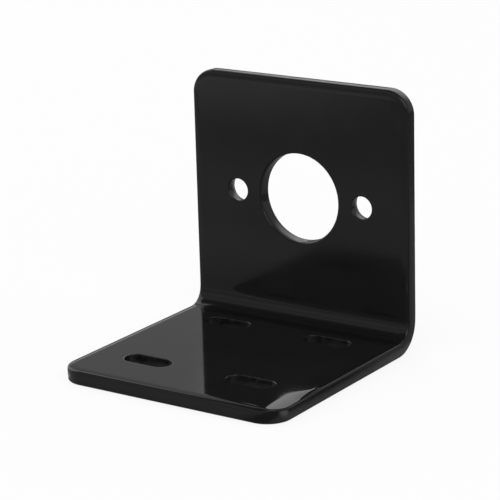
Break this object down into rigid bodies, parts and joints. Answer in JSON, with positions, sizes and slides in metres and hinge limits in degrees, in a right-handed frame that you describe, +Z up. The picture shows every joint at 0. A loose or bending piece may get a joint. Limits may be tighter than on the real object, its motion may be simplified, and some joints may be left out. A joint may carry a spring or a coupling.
{
  "type": "motor mounting bracket",
  "caption": "Folded sheet-steel L bracket in gloss black: an upright bored for a motor's boss and face screws, on a base with screw slots.",
  "frame": {"origin": "middle of the bounding box's bottom, on the plane of the base's underside", "axes": "X across the bracket, +Y from the base's front edge towards the upright's outer face, +Z up"},
  "size_m": [0.05, 0.05, 0.052],
  "materials": {
    "painted_steel": "gloss"
  },
  "bodies": {
    "root": {"bracket": "painted_steel"}
  },
  "joints": []
}
